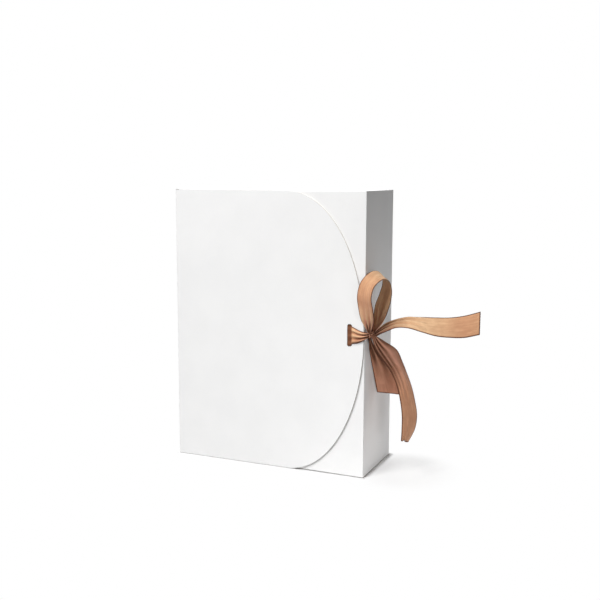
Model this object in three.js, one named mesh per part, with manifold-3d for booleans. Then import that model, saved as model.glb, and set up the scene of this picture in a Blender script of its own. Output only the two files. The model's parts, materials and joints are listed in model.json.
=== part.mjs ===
// A rigid gift box that stands on edge like a book: five wrapped boards, a round-ended outer flap over
// a straight inner flap, and a tied ribbon that leaves a slot in the outer flap and one in the side wall.
// Millimetres. X runs to the right, Y to the back and Z up, from the middle of the base.
import * as THREE from 'three';
import { mergeVertices } from 'three/addons/utils/BufferGeometryUtils.js';
import Module from 'manifold-3d';

const kit = await Module();
kit.setup();

// Driving dimensions of the box
const boxWidth = 225;
const boxDepth = 90;
const boxHeight = 305;
const boardThickness = 1.2;
const paperThickness = 0.15;
const glueLine = 0.05;

// Flaps: the outer one has a straight part, then an elliptical end that stops short of the side wall
const flapStraight = 137;
const flapEdgeInset = 0.5;
const flapGap = 0.3;
const flapFloorClearance = 0.5;
const creaseGap = 0.1;
const innerFlapReach = 104;
const innerFlapTaper = 1.2;
const liningInset = 3;
const arcSteps = 36;

// Ribbon and the two slots that it passes through
const ribbonWidth = 25;
const ribbonThickness = 0.4;
const slotLength = 24;
const slotWidth = 5.4;
const slotInset = 13;
const slotRise = 1.9;
const slotChamfer = 1.4;
const anchorLength = 32;
const ribbonClearance = 0.3;

// Where the knot sits, and its size, as shares of the ribbon's width
const knotOutShare = 0.2;
const knotBackShare = 0.152;
const knotRiseShare = 0.09;
const knotLengthShare = 0.34;
const knotRadiusShare = 0.15;

// Steps of the ribbon's sheets: along the run and across the width, and the pleats at the knot
const runStepsPerWidth = 8;
const crossSteps = 8;
const pleatCount = 2;
const pleatRiseShare = 0.02;

const cutOverrun = 1;

// Places worked out from the sizes above
const leftX = -boxWidth / 2;
const rightX = boxWidth / 2;
const backY = boxDepth / 2;
const innerFlapFrontY = -boxDepth / 2;
const skin = paperThickness + glueLine;
const panelStack = boardThickness + 2 * skin;
const innerFlapBackY = innerFlapFrontY + panelStack;
const mouthY = innerFlapBackY + flapGap;
const outerFlapBackY = innerFlapFrontY - flapGap;
const outerFlapFrontY = outerFlapBackY - panelStack;
const flapLowZ = flapFloorClearance;
const flapHighZ = boxHeight - flapFloorClearance;
const midZ = boxHeight / 2;
const slotZ = midZ + slotRise;
const slotLowZ = slotZ - slotLength / 2;
const slotHighZ = slotZ + slotLength / 2;
const flapApexX = rightX - flapEdgeInset;
const flapSlotRightX = flapApexX - slotInset;
const flapSlotLeftX = flapSlotRightX - slotWidth;
const sideSlotFrontY = innerFlapFrontY + slotInset;
const sideSlotBackY = sideSlotFrontY + slotWidth;
const knot = new THREE.Vector3(
  rightX + knotOutShare * ribbonWidth,
  innerFlapFrontY + knotBackShare * ribbonWidth,
  slotZ + knotRiseShare * ribbonWidth,
);

// Finishes
const greyboard = new THREE.MeshStandardMaterial({ color: 0xb9b4aa, roughness: 0.95, metalness: 0 });
const whitePaper = new THREE.MeshStandardMaterial({ color: 0xf3f3f3, roughness: 0.75, metalness: 0 });
const liningPaper = new THREE.MeshStandardMaterial({ color: 0xefeeea, roughness: 0.85, metalness: 0 });
const ribbonCloth = new THREE.MeshStandardMaterial({ color: 0xb78355, roughness: 0.6, metalness: 0 });

const giftBox = new THREE.Group();

function addPiece(name, geometry, material) {
  const mesh = new THREE.Mesh(geometry, material.clone());
  mesh.name = name;
  giftBox.add(mesh);
}

// Booleans: a closed geometry becomes a solid and comes back as a geometry
function solidOf(geometry) {
  const bare = geometry.clone();
  bare.deleteAttribute('normal');
  bare.deleteAttribute('uv');
  const merged = mergeVertices(bare);
  const triVerts = new Uint32Array(merged.index.array);
  const vertProperties = new Float32Array(merged.attributes.position.array);
  return new kit.Manifold(new kit.Mesh({ numProp: 3, vertProperties, triVerts }));
}

function geometryOf(solid) {
  const mesh = solid.getMesh();
  const geometry = new THREE.BufferGeometry();
  geometry.setAttribute('position', new THREE.BufferAttribute(new Float32Array(mesh.vertProperties), 3));
  geometry.setIndex(new THREE.BufferAttribute(new Uint32Array(mesh.triVerts), 1));
  geometry.computeVertexNormals();
  return geometry;
}

function joined(...geometries) {
  return geometryOf(geometries.map(solidOf).reduce((whole, next) => whole.add(next)));
}

function cut(geometry, ...cutters) {
  return geometryOf(cutters.map(solidOf).reduce((whole, next) => whole.subtract(next), solidOf(geometry)));
}

// Shapes
function block([x0, x1], [y0, y1], [z0, z1]) {
  const geometry = new THREE.BoxGeometry(x1 - x0, y1 - y0, z1 - z0);
  geometry.translate((x0 + x1) / 2, (y0 + y1) / 2, (z0 + z1) / 2);
  return geometry;
}

// A plate whose outline is drawn in X and Z, between two depths
function uprightPlate(shape, frontY, plateBackY) {
  const geometry = new THREE.ExtrudeGeometry(shape, {
    depth: plateBackY - frontY,
    bevelEnabled: false,
    curveSegments: arcSteps,
  });
  geometry.rotateX(Math.PI / 2);
  geometry.translate(0, plateBackY, 0);
  return geometry;
}

// A sleeve of constant plan: the outline is drawn in X and Y and pulled up between two heights
function standingSheet(points, z0, z1) {
  const shape = new THREE.Shape(points.map(([x, y]) => new THREE.Vector2(x, y)));
  const geometry = new THREE.ExtrudeGeometry(shape, { depth: z1 - z0, bevelEnabled: false });
  geometry.translate(0, 0, z0);
  return geometry;
}

// The outer flap's outline, drawn in on its free edges by an inset and at its crease by another
function roundFlapShape(inset, creaseX) {
  const centreX = leftX + flapStraight;
  const low = flapLowZ + inset;
  const high = flapHighZ - inset;
  const shape = new THREE.Shape();
  shape.moveTo(creaseX, low);
  shape.lineTo(centreX, low);
  shape.absellipse(centreX, midZ, flapApexX - inset - centreX, (high - low) / 2, -Math.PI / 2, Math.PI / 2);
  shape.lineTo(creaseX, high);
  shape.closePath();
  return shape;
}

// The inner flap's outline, with the crease on the right, drawn in a little towards its free edge
function straightFlapShape(inset, creaseX) {
  const freeX = rightX - innerFlapReach + inset;
  const low = flapLowZ + inset;
  const high = flapHighZ - inset;
  const drawnIn = (x) => innerFlapTaper * (rightX - x) / innerFlapReach;
  const shape = new THREE.Shape();
  shape.moveTo(freeX, low + drawnIn(freeX));
  shape.lineTo(creaseX, low + drawnIn(creaseX));
  shape.lineTo(creaseX, high - drawnIn(creaseX));
  shape.lineTo(freeX, high - drawnIn(freeX));
  shape.closePath();
  return shape;
}

// A slot with chamfered ends, drawn in X and Z
function flapSlotShape() {
  const left = flapSlotLeftX;
  const right = flapSlotRightX;
  const low = slotLowZ;
  const high = slotHighZ;
  return new THREE.Shape([
    new THREE.Vector2(left + slotChamfer, low),
    new THREE.Vector2(right - slotChamfer, low),
    new THREE.Vector2(right, low + slotChamfer),
    new THREE.Vector2(right, high - slotChamfer),
    new THREE.Vector2(right - slotChamfer, high),
    new THREE.Vector2(left + slotChamfer, high),
    new THREE.Vector2(left, high - slotChamfer),
    new THREE.Vector2(left, low + slotChamfer),
  ]);
}

// The same slot in the side wall: turned about its own middle line and carried there
function sideSlotCutter() {
  const cutter = uprightPlate(flapSlotShape(), -panelStack - cutOverrun, cutOverrun);
  cutter.translate(-(flapSlotLeftX + flapSlotRightX) / 2, 0, 0);
  cutter.rotateZ(Math.PI / 2);
  cutter.translate(rightX - panelStack, (sideSlotFrontY + sideSlotBackY) / 2, 0);
  return cutter;
}

// Heights and depths of the layers of a wrapped panel, counted from its outer face
const boardOuter = skin;
const boardInner = skin + boardThickness;
const liningOuter = boardInner + glueLine;

// The five boards of the body
function addBody() {
  const spineFrontY = outerFlapBackY + glueLine;
  const boardBackY = backY - boardInner;
  const uprightZ = [boardOuter, boxHeight - boardOuter];
  const acrossX = [leftX + boardInner + glueLine, rightX - boardInner - glueLine];
  const recess = ribbonThickness + 2 * glueLine;
  addPiece('back_panel', block(
    [leftX + boardOuter, rightX - boardOuter],
    [boardBackY, backY - boardOuter],
    uprightZ,
  ), greyboard);
  addPiece('spine_wall', block(
    [leftX + boardOuter, leftX + boardInner],
    [spineFrontY, boardBackY - glueLine],
    uprightZ,
  ), greyboard);
  const sideBoard = block(
    [rightX - boardInner, rightX - boardOuter],
    [mouthY, boardBackY - glueLine],
    uprightZ,
  );
  const sideRecess = block(
    [rightX - boardInner - cutOverrun, rightX - boardInner + recess],
    [sideSlotBackY - slotWidth / 2, sideSlotBackY + anchorLength + ribbonClearance],
    [slotZ - ribbonWidth / 2 - ribbonClearance, slotZ + ribbonWidth / 2 + ribbonClearance],
  );
  addPiece('side_wall', cut(sideBoard, sideSlotCutter(), sideRecess), greyboard);
  const wallY = [mouthY + skin, boardBackY - glueLine];
  addPiece('bottom_wall', block(acrossX, wallY, [boardOuter, boardInner]), greyboard);
  addPiece('top_wall', block(acrossX, wallY, [boxHeight - boardInner, boxHeight - boardOuter]), greyboard);
}

// The wrapping paper of the body: one sheet round spine, back and side, and one on each end
function addBodyPaper() {
  const sleeve = standingSheet([
    [leftX, outerFlapFrontY],
    [leftX + paperThickness, outerFlapFrontY],
    [leftX + paperThickness, backY - paperThickness],
    [rightX - paperThickness, backY - paperThickness],
    [rightX - paperThickness, innerFlapFrontY],
    [rightX, innerFlapFrontY],
    [rightX, backY],
    [leftX, backY],
  ], 0, boxHeight);
  addPiece('case_wrap', cut(sleeve, sideSlotCutter()), whitePaper);
  const sheetX = [leftX + skin, rightX - skin];
  const sheetY = [mouthY, backY - skin];
  const lipX = [leftX + boardInner + glueLine, rightX - boardInner - glueLine];
  const lipY = [mouthY, mouthY + paperThickness];
  const turnY = [mouthY, mouthY + liningInset];
  for (const [name, outer, inward] of [['bottom_wrap', 0, 1], ['top_wrap', boxHeight, -1]]) {
    const layer = (from, to) => [outer + inward * from, outer + inward * to].sort((a, b) => a - b);
    addPiece(name, joined(
      block(sheetX, sheetY, layer(0, paperThickness)),
      block(lipX, lipY, layer(0, liningOuter + paperThickness)),
      block(lipX, turnY, layer(liningOuter, liningOuter + paperThickness)),
    ), whitePaper);
  }
}

// The lining: one sheet round the three upright walls and one on each end
function addLining() {
  const outerX = liningOuter;
  const innerX = liningOuter + paperThickness;
  const lowZ = boardInner + glueLine;
  const highZ = boxHeight - boardInner - glueLine;
  const sideFrontY = mouthY + liningInset;
  addPiece('case_lining', standingSheet([
    [leftX + outerX, sideFrontY],
    [leftX + innerX, sideFrontY],
    [leftX + innerX, backY - innerX],
    [rightX - innerX, backY - innerX],
    [rightX - innerX, sideFrontY],
    [rightX - outerX, sideFrontY],
    [rightX - outerX, backY - outerX],
    [leftX + outerX, backY - outerX],
  ], lowZ, highZ), liningPaper);
  const endX = [leftX + innerX + glueLine, rightX - innerX - glueLine];
  const endY = [mouthY + liningInset + glueLine, backY - innerX - glueLine];
  addPiece('bottom_lining', block(endX, endY, [liningOuter, liningOuter + paperThickness]), liningPaper);
  addPiece('top_lining', block(endX, endY, [
    boxHeight - liningOuter - paperThickness,
    boxHeight - liningOuter,
  ]), liningPaper);
}

// One flap: board, wrapping paper turned in round the free edges, and lining, from one outline
function addFlap(name, shapeOf, creaseX, inwardX, frontY, slot) {
  const backOfFlapY = frontY + panelStack;
  const boardX = creaseX + inwardX * (skin + creaseGap);
  const sheetX = creaseX + inwardX * (paperThickness + creaseGap);
  const pastX = creaseX - inwardX * cutOverrun;
  const boardPlate = uprightPlate(shapeOf(skin, boardX), frontY + skin, backOfFlapY - skin);
  const outerPlate = uprightPlate(shapeOf(0, sheetX), frontY, backOfFlapY);
  const hollow = uprightPlate(
    shapeOf(paperThickness, pastX),
    frontY + paperThickness,
    backOfFlapY - paperThickness,
  );
  const window = uprightPlate(
    shapeOf(liningInset - glueLine, pastX),
    frontY + boardThickness,
    backOfFlapY + cutOverrun,
  );
  const liningX = creaseX + inwardX * (liningInset + creaseGap);
  addPiece(`${name}_board`, slot ? cut(boardPlate, ...slot.board) : boardPlate, greyboard);
  addPiece(`${name}_wrap`, cut(outerPlate, hollow, window, ...(slot ? slot.paper : [])), whitePaper);
  addPiece(`${name}_lining`, uprightPlate(
    shapeOf(liningInset, liningX),
    backOfFlapY - paperThickness,
    backOfFlapY,
  ), liningPaper);
}

function addFlaps() {
  const recess = ribbonThickness + 2 * glueLine;
  const slotCutter = uprightPlate(flapSlotShape(), outerFlapFrontY - cutOverrun, outerFlapBackY + cutOverrun);
  const paperCutter = uprightPlate(flapSlotShape(), outerFlapFrontY - cutOverrun, outerFlapFrontY + skin);
  const anchorRecess = block(
    [flapSlotLeftX - anchorLength - ribbonClearance, flapSlotLeftX + slotWidth / 2],
    [outerFlapBackY - skin - recess, outerFlapBackY + cutOverrun],
    [slotZ - ribbonWidth / 2 - ribbonClearance, slotZ + ribbonWidth / 2 + ribbonClearance],
  );
  addFlap('outer_flap', roundFlapShape, leftX, 1, outerFlapFrontY, {
    board: [slotCutter, anchorRecess],
    paper: [paperCutter],
  });
  addFlap('inner_flap', straightFlapShape, rightX, -1, innerFlapFrontY, null);
}

// The glued ends of the two ribbons, pressed into the boards under the lining
function addAnchors() {
  const z = [slotZ - ribbonWidth / 2, slotZ + ribbonWidth / 2];
  const flapY = outerFlapBackY - skin - glueLine;
  addPiece('flap_ribbon_anchor', block(
    [flapSlotLeftX - anchorLength, flapSlotLeftX],
    [flapY - ribbonThickness, flapY],
    z,
  ), ribbonCloth);
  const sideX = rightX - boardInner + glueLine;
  addPiece('side_ribbon_anchor', block(
    [sideX, sideX + ribbonThickness],
    [sideSlotBackY, sideSlotBackY + anchorLength],
    z,
  ), ribbonCloth);
}

// A place given in ribbon widths from the middle of the knot
function fromKnot([x, y, z]) {
  return new THREE.Vector3(x, y, z).multiplyScalar(ribbonWidth).add(knot);
}

// A closed thin sheet between two edge curves, crowned a little and pleated where it is drawn in
function ribbonSheet(nearPoints, farPoints) {
  const near = new THREE.CatmullRomCurve3(nearPoints, false, 'centripetal');
  const far = new THREE.CatmullRomCurve3(farPoints, false, 'centripetal');
  const runSteps = Math.round(runStepsPerWidth * near.getLength() / ribbonWidth);
  const middle = [];
  for (let i = 0; i <= runSteps; i += 1) {
    const share = i / runSteps;
    const a = near.getPoint(share);
    const b = far.getPoint(share);
    const drawnIn = Math.max(0, 1 - a.distanceTo(b) / ribbonWidth);
    const row = [];
    for (let j = 0; j <= crossSteps; j += 1) {
      const across = j / crossSteps;
      const rise = drawnIn * pleatRiseShare * ribbonWidth * (1 - Math.cos(2 * Math.PI * pleatCount * across));
      row.push({ point: a.clone().lerp(b, across), rise });
    }
    middle.push(row);
  }
  const sides = [[], []];
  for (let i = 0; i <= runSteps; i += 1) {
    const before = middle[Math.max(0, i - 1)];
    const after = middle[Math.min(runSteps, i + 1)];
    for (let j = 0; j <= crossSteps; j += 1) {
      const along = after[j].point.clone().sub(before[j].point);
      const over = middle[i][crossSteps].point.clone().sub(middle[i][0].point);
      const normal = along.cross(over).normalize();
      const { point, rise } = middle[i][j];
      for (const side of [0, 1]) {
        const offset = rise + (side - 0.5) * ribbonThickness;
        sides[side].push(point.clone().addScaledVector(normal, offset));
      }
    }
  }
  const stride = crossSteps + 1;
  const count = sides[0].length;
  const at = (side, i, j) => side * count + i * stride + j;
  const index = [];
  const quad = (a, b, c, d) => index.push(a, b, c, a, c, d);
  for (let i = 0; i < runSteps; i += 1) {
    for (let j = 0; j < crossSteps; j += 1) {
      quad(at(1, i, j), at(1, i + 1, j), at(1, i + 1, j + 1), at(1, i, j + 1));
      quad(at(0, i, j), at(0, i, j + 1), at(0, i + 1, j + 1), at(0, i + 1, j));
    }
    quad(at(0, i, 0), at(0, i + 1, 0), at(1, i + 1, 0), at(1, i, 0));
    quad(at(0, i, crossSteps), at(1, i, crossSteps), at(1, i + 1, crossSteps), at(0, i + 1, crossSteps));
  }
  for (let j = 0; j < crossSteps; j += 1) {
    quad(at(0, 0, j), at(1, 0, j), at(1, 0, j + 1), at(0, 0, j + 1));
    quad(at(0, runSteps, j), at(0, runSteps, j + 1), at(1, runSteps, j + 1), at(1, runSteps, j));
  }
  const geometry = new THREE.BufferGeometry();
  const positions = sides.flat().flatMap((p) => [p.x, p.y, p.z]);
  geometry.setAttribute('position', new THREE.BufferAttribute(new Float32Array(positions), 3));
  geometry.setIndex(index);
  geometry.computeVertexNormals();
  return geometry;
}

// The knot: a turned barrel with two shallow grooves where the band wraps the strands
const knotProfileShares = [
  [-0.5, 0.55], [-0.38, 0.9], [-0.2, 1], [-0.08, 0.92], [0.08, 1.04], [0.24, 0.94], [0.4, 0.86], [0.5, 0.5],
];
const knotTurns = 24;
const knotTilt = 0.5;
const knotHeading = 0.4;

function knotBarrel(grow) {
  const length = knotLengthShare * ribbonWidth + 2 * grow;
  const radius = knotRadiusShare * ribbonWidth + grow;
  const ends = [new THREE.Vector2(0, -length / 2), new THREE.Vector2(0, length / 2)];
  const profile = knotProfileShares.map(([y, r]) => new THREE.Vector2(r * radius, y * length));
  const geometry = new THREE.LatheGeometry([ends[0], ...profile, ends[1]], knotTurns);
  geometry.rotateZ(-Math.PI / 2);
  geometry.rotateY(knotTilt);
  geometry.rotateZ(knotHeading);
  geometry.translate(knot.x, knot.y, knot.z);
  return geometry;
}

// Edges of the bow's strands, in ribbon widths from the middle of the knot
const loopNearShares = [
  [0.03, -0.04, 0.05], [0.16, -0.22, 0.3], [0.36, -0.62, 0.7], [0.42, -0.98, 1.2], [0.4, -1.14, 1.67],
  [0.46, -0.99, 2.08], [0.58, -0.79, 2.28], [0.7, -0.41, 2.37], [0.82, -0.08, 2.24], [0.88, 0.06, 1.88],
  [0.85, 0.07, 1.48], [0.76, 0.05, 1.1], [0.61, 0.05, 0.71], [0.4, 0.04, 0.4], [0.06, 0.04, 0.04],
];
const loopFarShares = [
  [-0.04, -0.04, 0.05], [-0.1, -0.12, 0.3], [-0.2, -0.31, 0.62], [-0.34, -0.47, 1.16], [-0.41, -0.56, 1.65],
  [-0.36, -0.42, 2.16], [-0.2, -0.2, 2.46], [0.01, 0.24, 2.63], [0.17, 0.62, 2.53], [0.24, 0.78, 2.14],
  [0.12, 0.74, 1.6], [-0.02, 0.62, 1.14], [-0.04, 0.52, 0.75], [0.03, 0.36, 0.44], [0.0, 0.1, 0.05],
];
const longTailNearShares = [
  [0.03, 0.02, -0.02], [0.2, 0.08, -0.03], [0.39, 0.16, 0.01], [0.66, 0.2, 0.15], [1.03, 0.24, 0.31],
  [1.53, 0.28, 0.32], [2.12, 0.34, 0.18], [2.68, 0.5, 0.03], [3.2, 0.74, -0.03], [3.73, 1.02, -0.04],
  [4.29, 1.36, 0.07],
];
const longTailFarShares = [
  [0.02, 0.08, 0.02], [0.12, 0.2, 0.06], [0.29, 0.36, 0.27], [0.5, 0.52, 0.48], [0.83, 0.74, 0.55],
  [1.31, 0.96, 0.65], [1.88, 1.14, 0.66], [2.45, 1.28, 0.65], [3.01, 1.46, 0.65], [3.56, 1.68, 0.73],
  [4.18, 1.92, 0.92],
];
const hangingTailNearShares = [
  [0.02, -0.06, -0.04], [0.11, -0.1, -0.19], [0.16, 0.0, -0.45], [0.28, 0.28, -0.9], [0.51, 0.54, -1.36],
  [0.74, 0.66, -1.76], [1.0, 0.68, -2.28], [1.18, 0.62, -2.86], [1.29, 0.52, -3.45], [1.33, 0.38, -4.04],
  [1.35, 0.22, -4.53],
];
const hangingTailFarShares = [
  [0.06, -0.01, -0.04], [0.21, 0.06, -0.22], [0.55, 0.28, -0.41], [0.92, 0.66, -0.73], [1.08, 1.08, -1.31],
  [1.2, 1.42, -1.87], [1.38, 1.54, -2.45], [1.55, 1.51, -3.05], [1.68, 1.42, -3.66], [1.64, 1.3, -4.23],
  [1.39, 1.16, -4.83],
];
const sideTailNearShares = [
  [-0.08, 0.24, -0.16], [-0.01, 0.22, -0.36], [0.12, 0.4, -0.69], [0.33, 0.8, -1.18], [0.53, 1.25, -1.72],
  [0.68, 1.6, -2.32], [0.76, 1.82, -2.94],
];
const sideTailFarShares = [
  [-0.13, 0.26, -0.3], [-0.15, 0.3, -0.42], [-0.17, 0.33, -0.61], [-0.17, 0.52, -1.05], [-0.16, 0.78, -1.58],
  [-0.13, 1.05, -2.21], [-0.1, 1.3, -2.8],
];
const flapLeadEndShares = [-0.04, -0.03, 0.06];

// Where a strand turns in its slot, as shares of the slot's width, and where it fans out on the flap, as shares
// of the flat run from the slot to the side wall
const slotTurnShare = 0.4;
const slotLeaveShare = 0.15;
const slotPastShare = 0.33;
const fanRunShares = [0.3, 0.75];

// How far each strand is drawn in at the stations of its lead, as shares of the slot's length
const flapLeadDrawnShares = [0.92, 0.86, 0.85, 0.76, 0.5, 0.3];
const sideLeadDrawnShares = [0.94, 0.86, 0.85, 0.7];

// The strand from the flap's slot: out over the slot's right edge, along the flap and into the knot
function flapLeadEdges() {
  const half = slotLength / 2 - ribbonClearance;
  const inside = outerFlapBackY - skin - glueLine - ribbonThickness / 2;
  const proud = outerFlapFrontY - ribbonThickness / 2 - ribbonClearance;
  const flatRun = rightX - flapSlotRightX;
  const path = [
    [flapSlotLeftX + ribbonClearance, inside],
    [flapSlotLeftX + slotWidth * slotTurnShare, (inside + proud) / 2],
    [flapSlotRightX - slotWidth * slotLeaveShare, proud],
    [flapSlotRightX + flatRun * fanRunShares[0], proud],
    [flapSlotRightX + flatRun * fanRunShares[1], proud],
    [rightX, proud - ribbonClearance / 2],
  ];
  const [endX, endY, endHalf] = flapLeadEndShares;
  return [-1, 1].map((side) => {
    const points = path.map(([x, y], i) => {
      const drawnShare = flapLeadDrawnShares[i];
      const settle = (1 - drawnShare) * (knot.z - slotZ);
      return new THREE.Vector3(x, y, slotZ + settle + side * half * drawnShare);
    });
    points.push(fromKnot([endX, endY, side * endHalf]));
    return points;
  });
}

// The strand from the side wall's slot: forward to behind the knot, and down as the short tail
function sideRibbonEdges() {
  const half = slotLength / 2 - ribbonClearance;
  const inside = rightX - boardInner + glueLine + ribbonThickness / 2;
  const proud = rightX + ribbonThickness / 2 + ribbonClearance;
  const path = [
    [inside, sideSlotBackY - ribbonClearance],
    [(inside + proud) / 2, sideSlotBackY - slotWidth * slotTurnShare],
    [proud, sideSlotFrontY + slotWidth * slotLeaveShare],
    [proud + ribbonClearance, sideSlotFrontY - slotWidth * slotPastShare],
  ];
  return [1, -1].map((side) => {
    const tailShares = side > 0 ? sideTailNearShares : sideTailFarShares;
    const lead = path.map(([x, y], i) => {
      const drawn = half * sideLeadDrawnShares[i];
      return new THREE.Vector3(x, y, slotZ + side * drawn);
    });
    return [...lead, ...tailShares.map(fromKnot)];
  });
}

function addBow() {
  const clearOfKnot = knotBarrel(ribbonClearance);
  const strand = (name, near, far) => addPiece(name, cut(ribbonSheet(near, far), clearOfKnot), ribbonCloth);
  addPiece('ribbon_knot', knotBarrel(0), ribbonCloth);
  strand('flap_ribbon_lead', ...flapLeadEdges());
  strand('ribbon_loop', loopNearShares.map(fromKnot), loopFarShares.map(fromKnot));
  strand('ribbon_long_tail', longTailNearShares.map(fromKnot), longTailFarShares.map(fromKnot));
  strand('ribbon_hanging_tail', hangingTailNearShares.map(fromKnot), hangingTailFarShares.map(fromKnot));
  addPiece('side_ribbon', ribbonSheet(...sideRibbonEdges()), ribbonCloth);
}

addBody();
addBodyPaper();
addLining();
addFlaps();
addAnchors();
addBow();

export default giftBox;
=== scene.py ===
import json
import math

import bmesh
import bpy
import numpy as np
from mathutils import Matrix, Vector


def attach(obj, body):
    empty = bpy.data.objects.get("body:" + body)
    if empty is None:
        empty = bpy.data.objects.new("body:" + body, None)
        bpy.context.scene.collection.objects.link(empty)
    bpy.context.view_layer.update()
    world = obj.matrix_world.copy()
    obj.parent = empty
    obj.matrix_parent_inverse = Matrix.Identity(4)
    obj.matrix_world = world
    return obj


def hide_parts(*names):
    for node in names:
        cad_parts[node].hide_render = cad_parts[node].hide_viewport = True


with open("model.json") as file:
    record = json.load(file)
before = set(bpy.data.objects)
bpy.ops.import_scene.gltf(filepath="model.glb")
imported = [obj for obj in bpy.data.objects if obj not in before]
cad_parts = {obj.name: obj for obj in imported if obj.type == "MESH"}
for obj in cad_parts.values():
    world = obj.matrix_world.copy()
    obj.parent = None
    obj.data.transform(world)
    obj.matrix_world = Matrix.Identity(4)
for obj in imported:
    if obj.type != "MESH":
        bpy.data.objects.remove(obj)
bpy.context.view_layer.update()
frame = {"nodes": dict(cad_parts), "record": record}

MM = 0.001

# Camera of the photograph
CAMERA_PLACE = (0.41207, -0.90530, 0.32101)
CAMERA_YAW = math.radians(-23.466)
CAMERA_PITCH = math.radians(8.052)
CAMERA_ROLL = math.radians(0.180)
CAMERA_LENS = 52.986
SENSOR_WIDTH = 36.0

# The ribbon, and the slots that it passes through
RIBBON = 25 * MM
RIBBON_THICKNESS = 0.36 * MM
SLOT_LENGTH = 24 * MM
SLOT_WIDTH = 5.4 * MM
SLOT_CLEARANCE = 0.3 * MM

# How far the knot sits out, back and up from the box's right front edge at the slots, in ribbon widths
KNOT_OUT_SHARE = 0.2
KNOT_BACK_SHARE = 0.152
KNOT_RISE_SHARE = 0.09


def extent(name):
    """Lowest and highest corner of a node of the frame, to the micrometre."""
    node = frame["nodes"][name]
    corners = np.array([node.matrix_world @ Vector(corner) for corner in node.bound_box])
    return corners.min(0).round(6), corners.max(0).round(6)


# Places that the ribbons follow, taken from the frame
CASE_HIGH = extent("case_wrap")[1]
FLAP_GLUED_LOW, FLAP_GLUED_HIGH = extent("flap_ribbon_anchor")
SIDE_GLUED_LOW, SIDE_GLUED_HIGH = extent("side_ribbon_anchor")
BOX_RIGHT = CASE_HIGH[0]
INNER_FLAP_FRONT = extent("inner_flap_wrap")[0][1]
FLAP_FRONT = extent("outer_flap_wrap")[0][1]
FLAP_INSIDE = (FLAP_GLUED_LOW[1] + FLAP_GLUED_HIGH[1]) / 2
SIDE_INSIDE = (SIDE_GLUED_LOW[0] + SIDE_GLUED_HIGH[0]) / 2
GLUED_LENGTH = FLAP_GLUED_HIGH[0] - FLAP_GLUED_LOW[0]
SLOT_MIDDLE = (FLAP_GLUED_LOW[2] + FLAP_GLUED_HIGH[2]) / 2
SLOT_HALF = SLOT_LENGTH / 2 - SLOT_CLEARANCE
FLAP_SLOT = (FLAP_GLUED_HIGH[0], FLAP_GLUED_HIGH[0] + SLOT_WIDTH)
SIDE_SLOT = (SIDE_GLUED_LOW[1] - SLOT_WIDTH, SIDE_GLUED_LOW[1])
KNOT = Vector((
    BOX_RIGHT + KNOT_OUT_SHARE * RIBBON,
    INNER_FLAP_FRONT + KNOT_BACK_SHARE * RIBBON,
    SLOT_MIDDLE + KNOT_RISE_SHARE * RIBBON,
))


def make_camera():
    """The camera of the photograph, from its place, its three turns and its lens."""
    forward = Vector((
        math.sin(CAMERA_YAW) * math.cos(CAMERA_PITCH),
        math.cos(CAMERA_YAW) * math.cos(CAMERA_PITCH),
        -math.sin(CAMERA_PITCH),
    ))
    level = Vector((math.cos(CAMERA_YAW), -math.sin(CAMERA_YAW), 0))
    above = level.cross(forward)
    right = math.cos(CAMERA_ROLL) * level + math.sin(CAMERA_ROLL) * above
    up = math.cos(CAMERA_ROLL) * above - math.sin(CAMERA_ROLL) * level
    data = bpy.data.cameras.new("photo_camera")
    data.lens = CAMERA_LENS
    data.sensor_width = SENSOR_WIDTH
    camera = bpy.data.objects.new("photo_camera", data)
    turn = Matrix((right, up, -forward)).transposed().to_4x4()
    camera.matrix_world = Matrix.Translation(CAMERA_PLACE) @ turn
    bpy.context.scene.collection.objects.link(camera)
    bpy.context.scene.camera = camera


class Socket:
    """An output socket. Sums on it add Math nodes."""

    def __init__(self, nodes, link):
        self.nodes = nodes
        self.link = link

    def math(self, operation, *values):
        return self.nodes.node("ShaderNodeMath", {"operation": operation}, dict(enumerate(values)))

    def __add__(self, other):
        return self.math("ADD", self, other)

    def __sub__(self, other):
        return self.math("SUBTRACT", self, other)

    def __rsub__(self, other):
        return self.math("SUBTRACT", other, self)

    def __mul__(self, other):
        return self.math("MULTIPLY", self, other)

    __radd__ = __add__
    __rmul__ = __mul__

    def wave(self, length):
        """Zero to one and back over each length."""
        return self.math("SINE", self * (2 * math.pi / length)) * 0.5 + 0.5

    def ramp(self, low, high, at_low=0.0, at_high=1.0):
        """A soft step from one value to another between two levels."""
        settings = {"interpolation_type": "SMOOTHSTEP"}
        values = {"Value": self, "From Min": low, "From Max": high, "To Min": at_low, "To Max": at_high}
        return self.nodes.node("ShaderNodeMapRange", settings, values)

    def at_most(self, other):
        return self.math("MINIMUM", self, other)

    def at_least(self, other):
        return self.math("MAXIMUM", self, other)


class Nodes:
    """The nodes of a material or of the world, and the one method that adds any other node."""

    def __init__(self, owner):
        owner.use_nodes = True
        self.tree = owner.node_tree

    def node(self, kind, settings=None, values=None, output=0):
        made = self.tree.nodes.new(kind)
        for name, value in (settings or {}).items():
            setattr(made, name, value)
        for name, value in (values or {}).items():
            if isinstance(value, Socket):
                self.tree.links.new(value.link, made.inputs[name])
            else:
                made.inputs[name].default_value = value
        return Socket(self, made.outputs[output])

    def seen_directly(self):
        """One for camera, glossy and transmitted rays: what sees the stage rather than is lit by it."""
        camera, glossy, transmitted = (
            self.node("ShaderNodeLightPath", output=name)
            for name in ("Is Camera Ray", "Is Glossy Ray", "Is Transmission Ray")
        )
        return camera.at_least(glossy).at_least(transmitted)


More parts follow.
